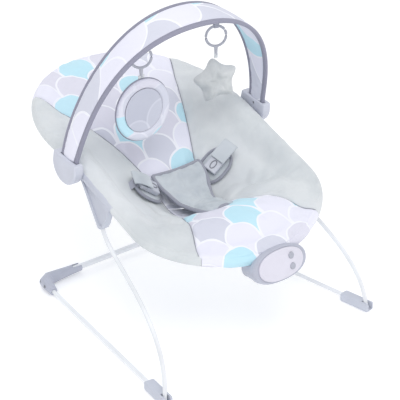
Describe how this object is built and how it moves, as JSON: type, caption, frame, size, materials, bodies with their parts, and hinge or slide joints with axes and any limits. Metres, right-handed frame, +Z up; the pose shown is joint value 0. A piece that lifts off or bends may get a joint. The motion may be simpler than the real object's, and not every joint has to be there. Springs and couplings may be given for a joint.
{
  "type": "bouncer seat",
  "caption": "Infant bouncer: springy wire base, fabric sling seat with harness, arched padded toy bar with hanging toys, and a battery vibration unit at the foot end.",
  "frame": {"origin": "on the floor, under the middle of the bounding box", "axes": "+Z up; +Y towards the head end; -Y towards the foot end with the vibration unit; +X to the right as seen from the foot end"},
  "size_m": [0.5026, 0.5901, 0.5856],
  "materials": {
    "print_fabric": "printed knit",
    "pale_plastic": "satin",
    "battery_sleeve": "printed sleeve",
    "steel": "zinc plated",
    "dark_plastic": "satin",
    "board_green": "solder mask",
    "plush_fabric": "short-pile plush",
    "frame_white": "gloss powder coat",
    "grey_plastic": "satin",
    "mirror_film": "flexible film",
    "webbing": "woven tape",
    "face_plastic": "soft gloss"
  },
  "bodies": {
    "base": {"rear_cross_tube": "frame_white", "rear_elbow_left": "grey_plastic", "rear_elbow_right": "grey_plastic", "elbow_rear_screw_left": "steel", "elbow_rear_screw_right": "steel", "elbow_side_screw_left": "steel", "elbow_side_screw_right": "steel", "floor_wire_left": "frame_white", "floor_wire_right": "frame_white", "front_foot_left": "grey_plastic", "front_foot_right": "grey_plastic"},
    "seat": {"leg_wire_left": "frame_white", "leg_wire_right": "frame_white", "side_bracket_left": "pale_plastic", "side_bracket_right": "pale_plastic", "bracket_cover_left": "pale_plastic", "bracket_cover_right": "pale_plastic", "bracket_screw_left": "steel", "bracket_screw_right": "steel", "upper_seat_tube": "frame_white", "lower_seat_tube": "frame_white", "back_panel": "print_fabric", "seat_panel": "print_fabric", "side_panel_left": "plush_fabric", "side_panel_right": "plush_fabric", "crotch_pad": "plush_fabric", "buckle_socket_left": "dark_plastic", "buckle_socket_right": "dark_plastic", "waist_strap_left": "webbing", "waist_strap_right": "webbing", "unit_housing": "pale_plastic", "unit_face": "face_plastic", "battery": "battery_sleeve", "battery_contact_left": "steel", "battery_contact_right": "steel", "circuit_board": "board_green", "motor": "steel"},
    "toy_bar": {"bar_strip": "pale_plastic", "bar_sleeve": "print_fabric", "bar_end_cap_left": "pale_plastic", "bar_end_cap_right": "pale_plastic", "cap_screw_left": "steel", "cap_screw_right": "steel", "toy_loop_left": "webbing", "toy_loop_right": "webbing"},
    "ring_left": {"ring_link_left": "grey_plastic"},
    "ring_right": {"ring_link_right": "grey_plastic"},
    "mirror_toy": {"mirror_toy": "print_fabric", "mirror": "mirror_film"},
    "star_toy": {"star_toy": "plush_fabric"},
    "upper_button": {"upper_button": "grey_plastic"},
    "lower_button": {"lower_button": "grey_plastic"},
    "eccentric_weight": {"eccentric_weight": "steel"},
    "battery_door": {"battery_door": "pale_plastic", "battery_door_screw": "steel"},
    "buckle_tongue_left": {"buckle_tongue_left": "dark_plastic"},
    "buckle_tongue_right": {"buckle_tongue_right": "dark_plastic"}
  },
  "joints": [
    {"name": "bounce", "type": "hinge", "parent": "base", "child": "seat", "pos_m": [0, -0.2657, 0.0095], "axis": [1, 0, 0], "range_deg": [-5, 4], "stiffness_Nm_per_rad": 250, "springref_deg": 1.06},
    {"name": "bar_pivot", "type": "hinge", "parent": "seat", "child": "toy_bar", "pos_m": [0, 0.0313, 0.3199], "axis": [1, 0, 0], "range_deg": [-60, 12]},
    {"name": "ring_left_swing", "type": "hinge", "parent": "toy_bar", "child": "ring_left", "pos_m": [-0.084, -0.0077, 0.527], "axis": [0.9272, -0.3746, 0], "range_deg": [-30, 30]},
    {"name": "mirror_toy_swing", "type": "hinge", "parent": "ring_left", "child": "mirror_toy", "pos_m": [-0.084, -0.0077, 0.4745], "axis": [0.9272, -0.3746, 0], "range_deg": [-20, 20]},
    {"name": "ring_right_swing", "type": "hinge", "parent": "toy_bar", "child": "ring_right", "pos_m": [0.084, -0.0077, 0.527], "axis": [0.9272, -0.3746, 0], "range_deg": [-30, 30]},
    {"name": "star_toy_swing", "type": "hinge", "parent": "ring_right", "child": "star_toy", "pos_m": [0.084, -0.0077, 0.4745], "axis": [0.9272, -0.3746, 0], "range_deg": [-20, 20]},
    {"name": "upper_button_press", "type": "slide", "parent": "seat", "child": "upper_button", "axis": [0, 0.9613, -0.2756], "range_m": [0, 0.0012], "stiffness_N_per_m": 600, "springref_m": -0.0006},
    {"name": "lower_button_press", "type": "slide", "parent": "seat", "child": "lower_button", "axis": [0, 0.9613, -0.2756], "range_m": [0, 0.0012], "stiffness_N_per_m": 600, "springref_m": -0.0006},
    {"name": "weight_spin", "type": "hinge", "parent": "seat", "child": "eccentric_weight", "pos_m": [0.03, -0.2621, 0.17786], "axis": [1, 0, 0], "continuous": true},
    {"name": "battery_door_pull", "type": "slide", "parent": "seat", "child": "battery_door", "axis": [0, 0.9613, -0.2756], "range_m": [0, 0.03]},
    {"name": "buckle_pull_left", "type": "slide", "parent": "seat", "child": "buckle_tongue_left", "axis": [-0.809, 0, 0.5878], "range_m": [0, 0.02], "deforming": ["waist_strap_left"]},
    {"name": "buckle_pull_right", "type": "slide", "parent": "seat", "child": "buckle_tongue_right", "axis": [0.809, 0, 0.5878], "range_m": [0, 0.02], "deforming": ["waist_strap_right"]}
  ]
}
